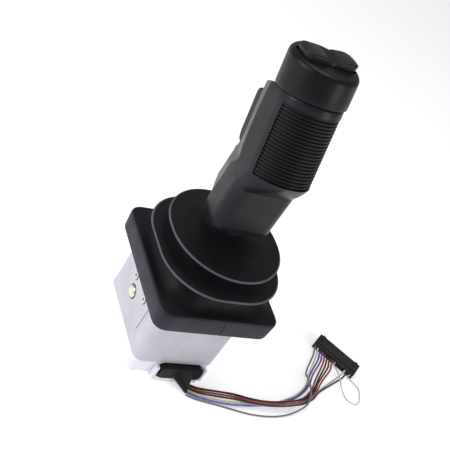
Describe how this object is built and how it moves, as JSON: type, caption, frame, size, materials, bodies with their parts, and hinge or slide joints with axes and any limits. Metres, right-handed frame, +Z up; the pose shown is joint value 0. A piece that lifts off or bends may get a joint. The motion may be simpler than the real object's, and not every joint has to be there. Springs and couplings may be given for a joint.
{
  "type": "industrial control joystick",
  "caption": "Panel-mounted single-axis control joystick with a rubber boot, contoured grip, thumb rocker, trigger and plug-in wire harness.",
  "frame": {"origin": "centre of the mounting flange, on the face that rests on the panel", "axes": "+Z up out of the panel towards the grip, +Y away from the operator (trigger side), +X to the operator's right, along the pivot shaft"},
  "size_m": [0.2552, 0.1282, 0.2819],
  "materials": {
    "cast_housing": "satin cast",
    "cover_plastic": "satin",
    "seal_rubber": "matte",
    "screw_steel": "plated",
    "boot_rubber": "matte",
    "grommet_rubber": "matte",
    "bushing_bronze": "sintered",
    "pin_steel": "ground",
    "switch_plastic": "matte",
    "board_green": "lacquered",
    "header_plastic": "matte",
    "cable_sheath": "matte",
    "shaft_steel": "turned",
    "hub_aluminium": "machined",
    "tube_steel": "drawn",
    "spring_steel": "bright",
    "magnet_metal": "plated",
    "grip_plastic": "satin",
    "pad_rubber": "matte",
    "cap_plastic": "satin",
    "rocker_plastic": "satin",
    "trigger_plastic": "satin",
    "plunger_plastic": "matte",
    "plug_plastic": "matte",
    "terminal_brass": "tinned",
    "wire_grey": "satin",
    "wire_yellow": "satin",
    "wire_blue": "satin",
    "wire_violet": "satin",
    "wire_red": "satin",
    "wire_black": "satin",
    "wire_maroon": "satin",
    "wire_pink": "satin",
    "wire_white": "satin",
    "wire_brown": "satin"
  },
  "bodies": {
    "base": {"housing": "cast_housing", "bottom_cover": "cover_plastic", "cover_gasket": "seal_rubber", "cover_screws": "screw_steel", "boot": "boot_rubber", "cable_grommet": "grommet_rubber", "shaft_bushings": "bushing_bronze", "spring_post": "pin_steel", "position_sensor": "switch_plastic", "sensor_screws": "screw_steel", "control_board": "board_green", "board_screws": "screw_steel", "board_header": "header_plastic", "inner_loom": "cable_sheath", "plug_housing": "plug_plastic", "plug_terminals": "terminal_brass", "wire_grey": "wire_grey", "wire_yellow": "wire_yellow", "wire_blue": "wire_blue", "wire_violet": "wire_violet", "wire_red": "wire_red", "wire_black": "wire_black", "wire_maroon": "wire_maroon", "wire_pink": "wire_pink", "wire_white": "wire_white", "wire_brown": "wire_brown", "jumper_wire": "wire_white"},
    "lever": {"pivot_shaft": "shaft_steel", "lever_hub": "hub_aluminium", "hub_pins": "pin_steel", "lever_tube": "tube_steel", "centring_spring": "spring_steel", "sensor_magnet": "magnet_metal", "neck_adapter": "hub_aluminium", "adapter_screws": "screw_steel", "boot_clamp": "spring_steel", "grip_cable": "cable_sheath", "grip_body": "grip_plastic", "palm_pad": "pad_rubber", "head_seal": "seal_rubber", "head_cap": "cap_plastic", "rocker_switch": "switch_plastic", "rocker_pin": "pin_steel", "trigger_pin": "pin_steel", "trigger_switch": "switch_plastic", "trigger_switch_screws": "screw_steel", "trigger_spring": "spring_steel"},
    "rocker": {"rocker": "rocker_plastic"},
    "trigger": {"trigger": "trigger_plastic"},
    "plunger": {"trigger_plunger": "plunger_plastic"}
  },
  "joints": [
    {"name": "lever_tilt", "type": "hinge", "parent": "base", "child": "lever", "pos_m": [0, 0.009, -0.031], "axis": [1, 0, 0], "range_deg": [-18, 18], "stiffness_Nm_per_rad": 4, "deforming": ["boot", "centring_spring", "grip_cable"]},
    {"name": "rocker_tilt", "type": "hinge", "parent": "lever", "child": "rocker", "pos_m": [0, 0.01778, 0.20098], "axis": [0, 0.9925, -0.1219], "range_deg": [-8, 8], "stiffness_Nm_per_rad": 0.2},
    {"name": "trigger_pull", "type": "hinge", "parent": "lever", "child": "trigger", "pos_m": [0, 0.02145, 0.12171], "axis": [1, 0, 0], "range_deg": [0, 7], "stiffness_Nm_per_rad": 0.6, "deforming": ["trigger_spring"]},
    {"name": "plunger_slide", "type": "slide", "parent": "lever", "child": "plunger", "axis": [0, -0.9563, 0.2924], "range_m": [0, 0.0032]}
  ],
  "couplings": [
    {"joint": "plunger_slide", "follows": "trigger_pull", "m_per_rad": 0.025}
  ]
}
